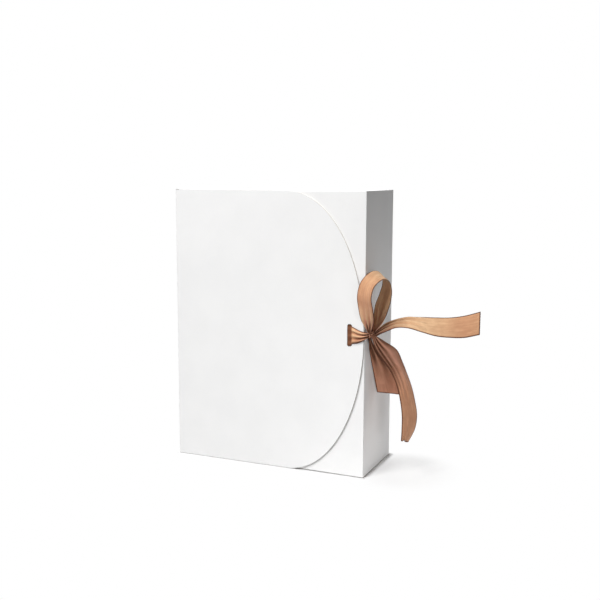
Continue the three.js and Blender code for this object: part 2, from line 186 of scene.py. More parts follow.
class Finish(Nodes):
    """A material with one Principled shader, and the sums that its pattern is made of."""

    def __init__(self, name, **constants):
        self.material = bpy.data.materials.new(name)
        super().__init__(self.material)
        self.shader = self.tree.nodes["Principled BSDF"]
        for socket, value in constants.items():
            self.shader.inputs[socket.replace("_", " ")].default_value = value

    def feed(self, socket, value):
        self.tree.links.new(value.link, self.shader.inputs[socket])

    def place(self):
        return self.node("ShaderNodeTexCoord", output="Object")

    def attribute(self, name):
        return self.node("ShaderNodeAttribute", {"attribute_name": name}, output="Fac")

    def noise(self, vector, scale, detail=2.0, roughness=0.5):
        values = {"Vector": vector, "Scale": scale, "Detail": detail, "Roughness": roughness}
        return self.node("ShaderNodeTexNoise", None, values)

    def vector(self, operation, a, b):
        return self.node("ShaderNodeVectorMath", {"operation": operation}, {0: a, 1: b})

    def stretched(self, vector, shares):
        """The vector with its parts multiplied, which draws a noise out along the smaller ones."""
        return self.vector("MULTIPLY", vector, shares)

    def dot(self, a, b):
        return self.node("ShaderNodeVectorMath", {"operation": "DOT_PRODUCT"}, {0: a, 1: b}, output="Value")

    def length(self, vector):
        return self.node("ShaderNodeVectorMath", {"operation": "LENGTH"}, {0: vector}, output="Value")

    def parts(self, vector):
        """The three parts of a vector."""
        first = self.node("ShaderNodeSeparateXYZ", None, {0: vector})
        return [Socket(self, output) for output in first.link.node.outputs]

    def mix(self, factor, a, b):
        settings = {"data_type": "RGBA"}
        return self.node("ShaderNodeMix", settings, {0: factor, 6: a, 7: b}, output=2)

    def bump(self, height, strength, distance):
        values = {"Height": height, "Strength": strength, "Distance": distance}
        return self.node("ShaderNodeBump", None, values)


def rgb(red, green, blue):
    return (red, green, blue, 1.0)


def grey(level):
    return rgb(level, level, level)


# Colours of the paper and the board
WRAP_BRIGHT = rgb(0.895, 0.893, 0.89)
WRAP_CLOUDED = rgb(0.865, 0.864, 0.862)
WRAP_TURNED_EDGE = rgb(0.80, 0.75, 0.68)
# Painted shade for the outer flap's edges that face the lower right
WRAP_PAINTED_EDGE_SHADE = rgb(0.34, 0.32, 0.27)
# Painted shade along the foot of the box, by the floor
WRAP_PAINTED_FOOT_SHADE = rgb(0.22, 0.20, 0.17)
LINING_BRIGHT = rgb(0.87, 0.86, 0.84)
LINING_CLOUDED = rgb(0.83, 0.82, 0.80)
PULP_LIGHT = rgb(0.42, 0.40, 0.365)
PULP_DARK = rgb(0.30, 0.285, 0.255)
PULP_FLECK = rgb(0.16, 0.15, 0.14)

# Scales of their grain, in noise cells to the metre, and the grain of the paper drawn out upwards
CLOUD_SCALE = 22.0
WRAP_FIBRE_SCALE = 1500.0
LINING_FIBRE_SCALE = 900.0
SPECK_TO_FIBRE = 2.3
PULP_SCALE = 900.0
FLECK_SCALE = 2600.0
FIBRE_STRETCH = (1.0, 1.0, 0.35)

# What each adds to the tone and the relief of the paper, and where the noises pass from one tone to the other
CLOUD_SHARE = 0.6
FIBRE_SHARE = 0.25
SPECK_SHARE = 0.15
FIBRE_RELIEF_SHARE = 0.6
SPECK_RELIEF_SHARE = 0.4
PAPER_TONE_STEP = (0.35, 0.65)
PULP_TONE_STEP = (0.3, 0.7)
FLECK_STEP = (0.66, 0.74)

# How far the paper's gloss wanders, the relief of paper and board, and how high up and how strongly
# the foot gets painted shade
GLOSS_WANDER = 0.06
PAPER_RELIEF = 0.05 * MM
PULP_RELIEF = 0.1 * MM
FOOT_SHADE_HEIGHT = (0.5 * MM, 1.5 * MM)
FOOT_SHADE_SHARE = 0.8

# How squarely a face looks to the lower right, or to the front, before it counts as doing so;
# edges that face the lower right get painted shade
LOWER_RIGHT = (1.0, 0.0, -0.6)
LOWER_RIGHT_STEP = (0.7, 1.05)
FRONTAL_STEP = (0.3, 0.7)


def paper_finish(name, bright, clouded, roughness, fibre, grain, turned=None, foot=None):
    """Paper glued over board: cloudy tone, fibres and a faint calendered grain. Turned tints the edges that
    don't face the front, and those facing the lower right get painted shade; the foot colour paints shade on
    the millimetre by the floor."""
    finish = Finish(name, Specular_IOR_Level=0.35)
    place = finish.place()
    cloud = finish.noise(place, CLOUD_SCALE, detail=3.0)
    fibres = finish.noise(finish.stretched(place, FIBRE_STRETCH), fibre, detail=4.0, roughness=0.6)
    speck = finish.noise(place, fibre * SPECK_TO_FIBRE, detail=2.0)
    mixed = cloud * CLOUD_SHARE + fibres * FIBRE_SHARE + speck * SPECK_SHARE
    face = finish.mix(mixed.ramp(*PAPER_TONE_STEP), clouded, bright)
    if turned is not None:
        normal = finish.node("ShaderNodeTexCoord", output="Normal")
        frontal = finish.length(finish.stretched(normal, (0.0, 1.0, 0.0)))
        # Edges that face the lower right get painted shade
        lower_right = finish.dot(normal, LOWER_RIGHT).ramp(*LOWER_RIGHT_STEP)
        edge = finish.mix(lower_right, turned, WRAP_PAINTED_EDGE_SHADE)
        face = finish.mix(frontal.ramp(*FRONTAL_STEP, 1.0, 0.0), face, edge)
    if foot is not None:
        # Painted shade on the millimetre by the floor
        height = finish.parts(place)[2]
        face = finish.mix(height.ramp(*FOOT_SHADE_HEIGHT, FOOT_SHADE_SHARE, 0.0), face, foot)
    finish.feed("Base Color", face)
    finish.feed("Roughness", cloud * GLOSS_WANDER + (roughness - GLOSS_WANDER / 2))
    relief = fibres * FIBRE_RELIEF_SHARE + speck * SPECK_RELIEF_SHARE
    finish.feed("Normal", finish.bump(relief, grain, PAPER_RELIEF))
    return finish.material


def board_finish():
    """Recycled greyboard: mottled pulp with darker flecks."""
    finish = Finish("bare_greyboard", Roughness=0.95, Specular_IOR_Level=0.2)
    place = finish.place()
    pulp = finish.noise(place, PULP_SCALE, detail=5.0, roughness=0.7)
    flecks = finish.noise(place, FLECK_SCALE, detail=2.0)
    mottled = finish.mix(pulp.ramp(*PULP_TONE_STEP), PULP_DARK, PULP_LIGHT)
    finish.feed("Base Color", finish.mix(flecks.ramp(*FLECK_STEP), mottled, PULP_FLECK))
    finish.feed("Normal", finish.bump(pulp, strength=0.4, distance=PULP_RELIEF))
    return finish.material


# Colours of the ribbon
CLOTH_DEEP = rgb(0.535, 0.252, 0.134)
CLOTH_LIGHT = rgb(0.65, 0.335, 0.184)
CLOTH_WORN = rgb(0.62, 0.34, 0.19)
# Painted rosy tint of shade
CLOTH_PAINTED_SHADE_TINT = rgb(0.86, 0.45, 0.35)
# Painted highlight
CLOTH_PAINTED_HIGHLIGHT = rgb(0.87, 0.59, 0.35)
# Painted shade for pleat valleys, the slot and the knot
CLOTH_PAINTED_SHADE = rgb(0.09, 0.035, 0.02)
# Dull patches, and painted shade in the grooves between ribs and threads
CLOTH_DULL_AND_GROOVE_SHADE = rgb(0.33, 0.135, 0.07)
CLOTH_EDGE = rgb(0.11, 0.042, 0.024)
CLOTH_SHEEN = rgb(1.0, 0.86, 0.66)
CLOTH_GLINT = rgb(1.0, 0.93, 0.72)

# The weave: one rib and one thread, how far the ribs wander, where the darker band along the edges ends,
# and its relief
RIB = 0.44 * MM
THREAD = 0.3 * MM
RIB_WANDER = 0.25 * MM
DARK_EDGE_BAND = (0.65 * MM, 1.35 * MM)
WEAVE_RELIEF = 0.06 * MM

# Scales of the cloth's unevenness, in noise cells to the metre, and how each kind is drawn out
WANDER_SCALE = 260.0
BAR_SCALE = 420.0
STREAK_SCALE = 330.0
WEAR_SCALE = 55.0
MOTTLE_SCALE = 190.0
BAR_STRETCH = (1.0, 0.06, 1.0)
STREAK_STRETCH = (0.05, 1.0, 1.0)
MOTTLE_STRETCH = (0.5, 1.0, 1.0)

# What each adds to the tone, to the dull patches and the painted shade in the weave's grooves, to the gloss
# and to the relief of the weave
BAR_SHARE = 0.25
STREAK_SHARE = 0.75
WEAR_SHARE = 0.35
DULL_STREAK_SHARE = 0.16
DULL_MOTTLE_SHARE = 0.2
RIB_SHADE_SHARE = 0.1
THREAD_SHADE_SHARE = 0.05
EDGE_SHADE_SHARE = 0.95
CLOTH_ROUGHNESS = 0.46
CLOTH_ROUGHNESS_WANDER = 0.16
RIB_RELIEF_SHARE = 0.7
THREAD_RELIEF_SHARE = 0.15
EDGE_RELIEF_SHARE = 0.5

# Where the noises pass from one tone to the other
CLOTH_TONE_STEP = (0.3, 0.7)
WEAR_STEP = (0.38, 0.68)
DULL_STEP = (0.7, 0.35)


def ribbon_finish():
    """Caramel ribbon: fine ribs across the run with painted shade in their grooves, soft streaks along it, a
    darker band along both sides and on the cut end, and each strand's painted highlights, painted shade and
    painted rosy tint of shade."""
    finish = Finish(
        "caramel_ribbon",
        Specular_IOR_Level=0.15,
        Specular_Tint=CLOTH_GLINT,
        Sheen_Weight=0.03,
        Sheen_Roughness=0.4,
        Sheen_Tint=CLOTH_SHEEN,
    )
    weave = finish.node("ShaderNodeUVMap", {"uv_map": "weave"})
    run, across, _ = finish.parts(weave)
    wander = finish.noise(weave, WANDER_SCALE, detail=2.0) * RIB_WANDER
    ribs = (run + wander).wave(RIB)
    threads = across.wave(THREAD)
    bars = finish.noise(finish.stretched(weave, BAR_STRETCH), BAR_SCALE, detail=4.0, roughness=0.65)
    streaks = finish.noise(finish.stretched(weave, STREAK_STRETCH), STREAK_SCALE, detail=3.0, roughness=0.6)
    wear = finish.noise(weave, WEAR_SCALE, detail=2.0)
    mottle = finish.noise(finish.stretched(weave, MOTTLE_STRETCH), MOTTLE_SCALE, detail=3.0, roughness=0.6)
    to_edge = across.at_most(RIBBON - across).at_most(run)
    edge = to_edge.ramp(*DARK_EDGE_BAND, 1.0, 0.0)
    woven = bars * BAR_SHARE + streaks * STREAK_SHARE
    tone = finish.mix(woven.ramp(*CLOTH_TONE_STEP), CLOTH_DEEP, CLOTH_LIGHT)
    worn = finish.mix(wear.ramp(*WEAR_STEP) * WEAR_SHARE, tone, CLOTH_WORN)
    painted_light = finish.attribute("painted_light")
    # A painted rosy tint where shade falls
    shade_tinted = finish.mix(finish.attribute("shade_tint"), worn, CLOTH_PAINTED_SHADE_TINT)
    # Painted highlight where painted light is above 0, painted shade where it is below 0
    bright = finish.mix(painted_light.at_least(0.0), shade_tinted, CLOTH_PAINTED_HIGHLIGHT)
    with_painted_shade = finish.mix((0.0 - painted_light).at_least(0.0), bright, CLOTH_PAINTED_SHADE)
    dull = streaks.ramp(*DULL_STEP) * DULL_STREAK_SHARE + mottle.ramp(*DULL_STEP) * DULL_MOTTLE_SHARE
    # The weave's ribs and threads, darker in their grooves as painted shade, with random dull patches
    ribbed = ribs * RIB_SHADE_SHARE + threads * THREAD_SHADE_SHARE
    shaded = finish.mix(ribbed + dull, with_painted_shade, CLOTH_DULL_AND_GROOVE_SHADE)
    finish.feed("Base Color", finish.mix(edge * EDGE_SHADE_SHARE, shaded, CLOTH_EDGE))
    finish.feed("Roughness", (woven * CLOTH_ROUGHNESS_WANDER + CLOTH_ROUGHNESS).at_least(edge))
    relief = ribs * RIB_RELIEF_SHARE + threads * THREAD_RELIEF_SHARE + edge * EDGE_RELIEF_SHARE
    finish.feed("Normal", finish.bump(relief, strength=0.35, distance=WEAVE_RELIEF))
    return finish.material


# How finely a strand, its length, the depth of its pleats and its normals are worked out
RUN_STEP = 0.8 * MM
CROSS_STEPS = 40
LENGTH_STEPS = 600
DEPTH_HALVINGS = 24
NORMAL_SMOOTHINGS = 3
SHORTEST_SPAN = 1e-7
SHORT_OF_END = 1e-9

# The run over which the glue lets go, how far a lean shifts the pleats, and the rows that a cut trims
GLUE_FADE = 4 * MM
LEAN_SHARE = 0.15
TRIMMED_ROWS = 6


def unit(vectors):
    """The vectors, each with a length of one."""
    return vectors / np.linalg.norm(vectors, axis=-1, keepdims=True)


def smooth_line(points, shares):
    """A centripetal curve through the points, at shares of its spans from 0 to 1."""
    points = np.array(points, float)
    padded = np.vstack([2 * points[0] - points[1], points, 2 * points[-1] - points[-2]])
    spans = len(points) - 1
    where = np.clip(np.asarray(shares) * spans, 0, spans - SHORT_OF_END)
    first = where.astype(int)
    t = (where - first)[:, None]
    p0, p1, p2, p3 = (padded[first + k] for k in range(4))
    d0, d1, d2 = (
        np.maximum(np.linalg.norm(b - a, axis=1), SHORTEST_SPAN)[:, None] ** 0.5
        for a, b in ((p0, p1), (p1, p2), (p2, p3))
    )
    m1 = ((p1 - p0) / d0 - (p2 - p0) / (d0 + d1) + (p2 - p1) / d1) * d1
    m2 = ((p2 - p1) / d1 - (p3 - p1) / (d1 + d2) + (p3 - p2) / d2) * d1
    return p1 + m1 * t + (3 * (p2 - p1) - 2 * m1 - m2) * t**2 + (2 * (p1 - p2) + m1 + m2) * t**3


def even_edges(near, far):
    """Both edges of a strand at even steps along its middle, and the length of its middle."""
    fine = np.linspace(0, 1, LENGTH_STEPS)
    middle = (smooth_line(near, fine) + smooth_line(far, fine)) / 2
    run = np.concatenate([[0], np.cumsum(np.linalg.norm(np.diff(middle, axis=0), axis=1))])
    length = run[-1]
    rows = max(2, round(length / RUN_STEP))
    shares = np.interp(np.linspace(0, length, rows + 1), run, fine)
    return smooth_line(near, shares), smooth_line(far, shares), length


def pleat_profile(across, folds, lean):
    """Folds of the gathered ribbon across its width, from 0 to 1; lean shifts their crests to one side."""
    bent = across + lean * np.sin(math.pi * across) * LEAN_SHARE
    return 0.5 - 0.5 * np.cos(2 * math.pi * folds * bent)


def pleat_depths(chord, slope, most):
    """How deep the pleats of each row are, so that they take up the ribbon's spare width, within a limit."""
    low = np.zeros(len(chord))
    high = most
    for _ in range(DEPTH_HALVINGS):
        depth = (low + high) / 2
        width = np.sqrt(chord[:, None] ** 2 + (depth[:, None] * slope) ** 2).mean(1)
        low = np.where(width < RIBBON, depth, low)
        high = np.where(width < RIBBON, high, depth)
    return depth


def sheet_normals(grid, over):
    """Directions square to a sheet, smoothed along its run."""
    normal = unit(np.cross(np.gradient(grid, axis=0), np.broadcast_to(over[:, None], grid.shape)))
    for _ in range(NORMAL_SMOOTHINGS):
        normal[1:-1] = (normal[:-2] + 2 * normal[1:-1] + normal[2:]) / 4
        normal = unit(normal)
    return normal


def cloth_rows(near, far, folds, lean, deepest, crown, glued):
    """The middle surface of a strand, as rows of points across it with each row's spare width in pleats.
    Returns them with their normals, the strand's length, and how deep in a valley each point lies on either
    face."""
    a, b, length = even_edges(near, far)
    across = np.linspace(0, 1, CROSS_STEPS + 1)
    grid = a[:, None] + (b - a)[:, None] * across[None, :, None]
    chord = np.linalg.norm(b - a, axis=1)
    profile = pleat_profile(across, folds, lean)
    free = np.clip((np.linspace(0, length, len(a)) - glued) / GLUE_FADE, 0, 1)
    depth = pleat_depths(chord, np.gradient(profile, across), deepest * free * free * (3 - 2 * free))
    fullness = np.clip(chord / RIBBON, 0, 1)
    valleys = (1 - fullness)[:, None] * np.array([1 - profile, profile])[:, None]
    belly = np.sin(math.pi * across)
    rise = depth[:, None] * profile + (crown * fullness**2)[:, None] * belly
    normal = sheet_normals(grid, b - a)
    return grid + rise[:, :, None] * normal, normal, length, valleys


def cut_end(grid, cut):
    """Trims the last row to a cut that varies across the width, in metres short of the end."""
    toward_end = unit(grid[-1] - grid[-2])
    for k in range(TRIMMED_ROWS):
        grid[-1 - k] -= toward_end * (cut * (TRIMMED_ROWS - k) / TRIMMED_ROWS)[:, None]


def rim_directions(grid):
    """Which way each point on the rim of a sheet faces, out of the sheet."""
    outward = np.zeros_like(grid)
    outward[:, [0, -1]] = unit(grid[:, [0, -1]] - grid[:, [1, -2]])
    for row, inner in ((0, 1), (-1, -2)):
        outward[row] += unit(grid[row] - grid[inner])
    return outward


def cloth_mesh(name, grid, normal, length, looks, finish):
    """A closed thin sheet with rounded edges, from its middle surface and the looks of its two faces."""
    rows, columns = grid.shape[:2]
    half = RIBBON_THICKNESS / 2
    flat = rows * columns
    index = np.arange(flat).reshape(rows, columns)
    rim = np.concatenate([
        index[0, :-1],
        index[:-1, -1],
        index[-1, :0:-1],
        index[:0:-1, 0],
    ])
    points = grid.reshape(-1, 3)
    normals = normal.reshape(-1, 3)
    out = unit(rim_directions(grid).reshape(-1, 3)[rim])
    vertices = np.vstack([points + half * normals, points - half * normals, points[rim] + half * out])
    run = np.linspace(length, 0, rows)
    across = np.linspace(0, RIBBON, columns)
    weave = np.stack(np.meshgrid(run, across, indexing="ij"), axis=2).reshape(-1, 2)
    weave = np.vstack([weave, weave, weave[rim]])
    corners = [index[:-1, :-1], index[1:, :-1], index[1:, 1:], index[:-1, 1:]]
    cells = np.stack(corners, axis=2).reshape(-1, 4)
    following = np.roll(np.arange(len(rim)), -1)
    edge = 2 * flat + np.arange(len(rim))
    faces = np.vstack([
        cells,
        cells[:, ::-1] + flat,
        np.stack([rim, edge, edge[following], rim[following]], axis=1),
        np.stack([edge, rim + flat, rim[following] + flat, edge[following]], axis=1),
    ])
    looks = looks.reshape(2, 2, -1)
    looks = np.concatenate([looks[:, 0], looks[:, 1], looks.mean(1)[:, rim]], axis=1)
    return finished_mesh(name, vertices, faces, weave, looks, finish)


def finished_mesh(name, vertices, faces, weave, looks, finish):
    """A smooth-shaded piece that carries its place in the weave, its painted light and shade, and its painted
    rosy tint of shade at each point.
    """
    mesh = bpy.data.meshes.new(name)
    mesh.from_pydata([tuple(p) for p in vertices], [], [tuple(int(i) for i in f) for f in faces])
    for look, values in zip(("painted_light", "shade_tint"), np.asarray(looks, np.float32)):
        mesh.attributes.new(look, "FLOAT", "POINT").data.foreach_set("value", values)
    layer = mesh.uv_layers.new(name="weave")
    loops = np.zeros(len(mesh.loops), np.int32)
    mesh.loops.foreach_get("vertex_index", loops)
    layer.data.foreach_set("uv", weave[loops].astype(np.float32).reshape(-1))
    mesh.materials.append(finish)
    turned = bmesh.new()
    turned.from_mesh(mesh)
    bmesh.ops.recalc_face_normals(turned, faces=turned.faces)
    turned.to_mesh(mesh)
    turned.free()
    mesh.shade_smooth()
    piece = bpy.data.objects.new(name, mesh)
    bpy.context.scene.collection.objects.link(piece)
    return piece


# The two edges of each strand of the bow, in ribbon widths from the middle of the knot
LOOP_NEAR = [
    (0.03, -0.04, 0.05), (0.16, -0.22, 0.3), (0.36, -0.62, 0.7), (0.42, -0.98, 1.2), (0.4, -1.14, 1.67),
    (0.46, -0.99, 2.08), (0.58, -0.79, 2.28), (0.7, -0.41, 2.37), (0.82, -0.08, 2.24), (0.88, 0.06, 1.88),
    (0.85, 0.07, 1.48), (0.76, 0.05, 1.1), (0.61, 0.05, 0.71), (0.4, 0.04, 0.4), (0.06, 0.04, 0.04),
]
LOOP_FAR = [
    (-0.04, -0.04, 0.05), (-0.15, -0.21, 0.3), (-0.3, -0.35, 0.62), (-0.39, -0.47, 1.16),
    (-0.41, -0.56, 1.65), (-0.34, -0.42, 2.16), (-0.18, -0.2, 2.46), (0.01, 0.24, 2.63),
    (0.17, 0.62, 2.53), (0.24, 0.78, 2.14), (0.12, 0.74, 1.6), (-0.02, 0.62, 1.14),
    (-0.04, 0.52, 0.75), (0.03, 0.36, 0.44), (0.0, 0.1, 0.05),
]
LONG_TAIL_NEAR = [
    (0.03, 0.02, -0.07), (0.2, 0.08, -0.1), (0.39, 0.16, 0.0), (0.66, 0.2, 0.13), (1.03, 0.24, 0.29),
    (1.53, 0.28, 0.31), (2.12, 0.34, 0.17), (2.68, 0.5, 0.02), (3.2, 0.74, -0.04), (3.73, 1.02, -0.05),
    (4.29, 1.36, 0.06),
]
LONG_TAIL_FAR = [
    (0.02, 0.08, 0.02), (0.12, 0.2, 0.04), (0.29, 0.36, 0.2), (0.5, 0.52, 0.39), (0.83, 0.74, 0.52),
    (1.31, 0.96, 0.65), (1.88, 1.14, 0.67), (2.45, 1.28, 0.67), (3.01, 1.46, 0.68), (3.56, 1.68, 0.76),
    (4.18, 1.92, 0.94),
]
HANGING_TAIL_NEAR = [
    (0.02, -0.06, -0.04), (0.11, -0.1, -0.19), (0.16, 0.0, -0.45), (0.28, 0.28, -0.9), (0.51, 0.54, -1.36),
    (0.74, 0.66, -1.76), (0.98, 0.68, -2.28), (1.15, 0.62, -2.86), (1.27, 0.52, -3.45),
    (1.32, 0.38, -4.04), (1.35, 0.22, -4.53),
]
HANGING_TAIL_FAR = [
    (0.13, 0.04, -0.03), (0.29, 0.1, -0.13), (0.59, 0.3, -0.36), (0.94, 0.67, -0.71), (1.09, 1.08, -1.31),
    (1.2, 1.42, -1.87), (1.38, 1.54, -2.45), (1.55, 1.51, -3.05), (1.68, 1.42, -3.66), (1.64, 1.3, -4.23),
    (1.39, 1.16, -4.83),
]
SHORT_TAIL_NEAR = [
    (-0.08, 0.24, -0.16), (-0.01, 0.22, -0.36), (0.12, 0.4, -0.69), (0.33, 0.8, -1.18),
    (0.53, 1.25, -1.72), (0.68, 1.6, -2.32), (0.76, 1.82, -2.94),
]
SHORT_TAIL_FAR = [
    (-0.13, 0.26, -0.3), (-0.15, 0.3, -0.42), (-0.17, 0.33, -0.61), (-0.17, 0.52, -1.05),
    (-0.16, 0.78, -1.58), (-0.13, 1.05, -2.21), (-0.1, 1.3, -2.8),
]
FLAP_RIBBON_LOW_END = (-0.04, -0.03, -0.12)
FLAP_RIBBON_HIGH_END = (-0.04, -0.03, 0.06)

# Along each strand: a share of its run, its painted light, below 0 painted shade as in a fold and 1 a painted
# highlight where it shines, and its painted rosy tint of shade
FLAP_RIBBON_TONES = [
    (0, 0, 0), (0.545, -0.5, 0), (0.56, -1.0, 0), (0.61, -0.8, 0), (0.635, -0.1, 0), (0.65, 0.3, 0),
    (0.66, 0.85, 0), (0.85, 0.6, 0.3), (0.92, -0.2, 0.6), (1, -1.7, 0.4),
]
LOOP_TONES = [
    (0, -1.8, 0.4), (0.035, -0.7, 0.6), (0.07, 0.2, 0.8), (0.14, 0.75, 0.5), (0.25, 0.1, 0.15),
    (0.4, 0.25, 0), (0.5, 0.75, 0), (0.56, 1.0, 0.4), (0.66, 1.0, 1), (0.8, 1.0, 1), (0.93, 1.0, 1),
    (0.965, 0.3, 0.9), (1, -1.5, 0.5),
]
LONG_TAIL_TONES = [
    (0, -1.8, 0.4), (0.05, -0.6, 0.7), (0.12, 0.4, 0.6), (0.28, 1.0, 0), (0.5, 1.0, 0), (0.65, 0.7, 0),
    (0.85, 0.15, 0.05), (1, 0.3, 0),
]
HANGING_TAIL_TONES = [
    (0, -1.3, 0.4), (0.05, -0.5, 0.5), (0.12, -0.25, 0.6), (0.22, -0.1, 0.7), (0.3, -0.05, 0.65),
    (0.45, 0.0, 0.45), (0.6, 0.05, 0.15), (0.8, 0.1, 0.15), (1, 0.12, 0.15),
]
SHORT_TAIL_TONES = [
    (0, 0, 0), (0.4, -0.5, 0.3), (0.5, -1.0, 0.5), (0.6, -0.35, 0.4), (0.75, -0.15, 0.4), (1, 0.0, 0.5),
]

# Where a strand comes up to its slot and the slot's lip, its rise from place to place, and its stand-off
SLOT_APPROACH = 5 * MM
SLOT_LIP = 1 * MM
STRAND_RISE = 0.1 * MM
STAND_OFF = 0.5 * MM

# How much of each ribbon from a slot still lies flat beyond its glued end
FLAP_RIBBON_FLAT = 5 * MM
SIDE_RIBBON_FLAT = 8 * MM


def from_knot(shares):
    """Places given in ribbon widths from the middle of the knot, in metres."""
    return [KNOT + RIBBON * Vector(place) for place in shares]


def flap_ribbon_edges():
    """From the glued end inside the flap, out of its slot and along its face to the knot. Each place gives
    how far both edges reach from the middle, and how far the lower one sags, as shares of half the slot."""
    left, right = FLAP_SLOT
    width = right - left
    proud = FLAP_FRONT - STAND_OFF
    flat_run = BOX_RIGHT - right
    path = [
        (left - GLUED_LENGTH, FLAP_INSIDE, 1.06, 0),
        (left - GLUED_LENGTH / 2, FLAP_INSIDE, 1.06, 0),
        (left - SLOT_APPROACH, FLAP_INSIDE, 1.04, 0),
        (left - SLOT_LIP, FLAP_INSIDE, 1.0, 0),
        (left + 0.35 * width, FLAP_INSIDE, 0.98, 0),
        (right - 0.22 * width, FLAP_INSIDE - 2 * STRAND_RISE, 0.95, 0),
        (right - 0.1 * width, (FLAP_INSIDE + proud) / 2, 0.88, 0),
        (right, proud + STRAND_RISE, 0.78, 0.03),
        (right + 0.2 * flat_run, proud, 0.66, 0.12),
        (right + 0.5 * flat_run, proud - STRAND_RISE, 0.46, 0.28),
        (right + 0.8 * flat_run, proud - 2 * STRAND_RISE, 0.31, 0.31),
        (BOX_RIGHT, proud - 3 * STRAND_RISE, 0.26, 0.24),
    ]
    low, high = [], []
    for x, y, drawn, sag in path:
        middle = SLOT_MIDDLE + max(0.0, 1 - drawn) * (KNOT.z - SLOT_MIDDLE)
        low.append(Vector((x, y, middle - SLOT_HALF * (drawn + sag))))
        high.append(Vector((x, y, middle + SLOT_HALF * drawn)))
    return low + from_knot([FLAP_RIBBON_LOW_END]), high + from_knot([FLAP_RIBBON_HIGH_END])


def side_ribbon_edges():
    """From the glued end in the side wall, out of its slot and behind the knot, down as the short tail."""
    front, back = SIDE_SLOT
    width = back - front
    proud = BOX_RIGHT + STAND_OFF
    path = [
        (SIDE_INSIDE, back + GLUED_LENGTH, 1.06),
        (SIDE_INSIDE, back + GLUED_LENGTH / 2, 1.06),
        (SIDE_INSIDE, back + SLOT_APPROACH, 1.03),
        (SIDE_INSIDE, back + SLOT_LIP, 0.98),
        (SIDE_INSIDE, back - 3 * STRAND_RISE, 0.94),
        ((SIDE_INSIDE + proud) / 2, back - 0.4 * width, 0.86),
        (proud, front + 0.15 * width, 0.85),
        (proud + 3 * STRAND_RISE, front - width / 3, 0.7),
    ]
    high = [Vector((x, y, SLOT_MIDDLE + SLOT_HALF * drawn)) for x, y, drawn in path]
    low = [Vector((x, y, SLOT_MIDDLE - SLOT_HALF * drawn)) for x, y, drawn in path]
    return high + from_knot(SHORT_TAIL_NEAR), low + from_knot(SHORT_TAIL_FAR)


def strand_looks(valleys, tones, fold_shade, crest_shine, near_edge_shade):
    """Painted light and shade, and painted rosy tint of shade, of both faces of a strand. A valley on one
    face is a crest on the other. Where two shares of the run and a shade are given for the near edge, painted
    shade darkens that edge between them."""
    at, painted_light, shade_tint = np.array(tones, float).T
    run = np.linspace(0, 1, valleys.shape[1])
    crests = valleys[::-1]
    # Painted shade in the pleats' valleys and painted highlight on their crests
    painted_light = np.interp(run, at, painted_light)[:, None] - fold_shade * valleys + crest_shine * crests
    # Painted shade along the near edge
    if near_edge_shade is not None:
        first, last, shade = near_edge_shade
        along = np.clip((run - first) * (last - run) * 4 / (last - first) ** 2, 0, 1)
        from_near = np.linspace(0, 1, CROSS_STEPS + 1)
        painted_light = painted_light - shade * along[:, None] * (1 - from_near) ** 3
    shade_tint = np.broadcast_to(np.interp(run, at, shade_tint)[:, None], painted_light.shape)
    return np.stack([painted_light, shade_tint])


def add_ribbon(name, body, nodes, edges, finish, tones, folds=3, lean=0.0, deepest=2.2 * MM,
               crown=0.0, glued=-GLUE_FADE, cut=None, fold_shade=2.2, crest_shine=0.9, near_edge_shade=None):
    """One strand, laid between its two edges and glued flat up to a given run. fold_shade paints shade into
    the valleys of its pleats and crest_shine paints highlights on their crests."""
    grid, normal, length, valleys = cloth_rows(*edges, folds, lean, deepest, crown, glued)
    if cut is not None:
        cut_end(grid, cut)
    looks = strand_looks(valleys, tones, fold_shade, crest_shine, near_edge_shade)
    piece = cloth_mesh(name, grid, normal, length, looks, finish)
    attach(piece, body)
    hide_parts(*nodes)


def add_flap_ribbon(finish):
    add_ribbon(
        "flap_ribbon", "outer_flap", ["flap_ribbon_lead", "flap_ribbon_anchor"], flap_ribbon_edges(),
        finish, FLAP_RIBBON_TONES,
        deepest=2.0 * MM, glued=GLUED_LENGTH + FLAP_RIBBON_FLAT,
        # Painted shade along the lower edge of the lead
        fold_shade=2.8, near_edge_shade=(0.6, 1.1, 1.8),
    )


def add_loop(finish):
    add_ribbon(
        "loop_ribbon", "outer_flap", ["ribbon_loop"], [from_knot(LOOP_NEAR), from_knot(LOOP_FAR)],
        finish, LOOP_TONES,
        lean=0.3, deepest=2.4 * MM, crown=-0.5 * MM,
    )


def add_long_tail(finish, chance):
    add_ribbon(
        "long_tail", "outer_flap", ["ribbon_long_tail"],
        [from_knot(LONG_TAIL_NEAR), from_knot(LONG_TAIL_FAR)],
        finish, LONG_TAIL_TONES,
        lean=-0.4, crown=0.6 * MM, cut=frayed(chance, depth=0.25 * MM),
    )


def add_hanging_tail(finish, chance):
    add_ribbon(
        "hanging_tail", "outer_flap", ["ribbon_hanging_tail"],
        [from_knot(HANGING_TAIL_NEAR), from_knot(HANGING_TAIL_FAR)],
        finish, HANGING_TAIL_TONES,
        lean=1.6, crown=0.8 * MM,
        cut=frayed(chance, depth=0.3 * MM) + notched(depth=1.3 * MM, place=0.28, width=0.07),
        # Painted shade along the near edge of the tail's upper part
        crest_shine=0.6, near_edge_shade=(0.08, 0.6, 1.1),
    )


def add_side_ribbon(finish, chance):
    add_ribbon(
        "side_ribbon_strip", "box", ["side_ribbon", "side_ribbon_anchor"], side_ribbon_edges(),
        finish, SHORT_TAIL_TONES,
        folds=2, deepest=1.4 * MM, glued=GLUED_LENGTH + SIDE_RIBBON_FLAT,
        cut=frayed(chance, depth=0.25 * MM),
    )


def frayed(chance, depth):
    """How far each thread of a cut end falls short, at random."""
    return depth * chance.random(CROSS_STEPS + 1)


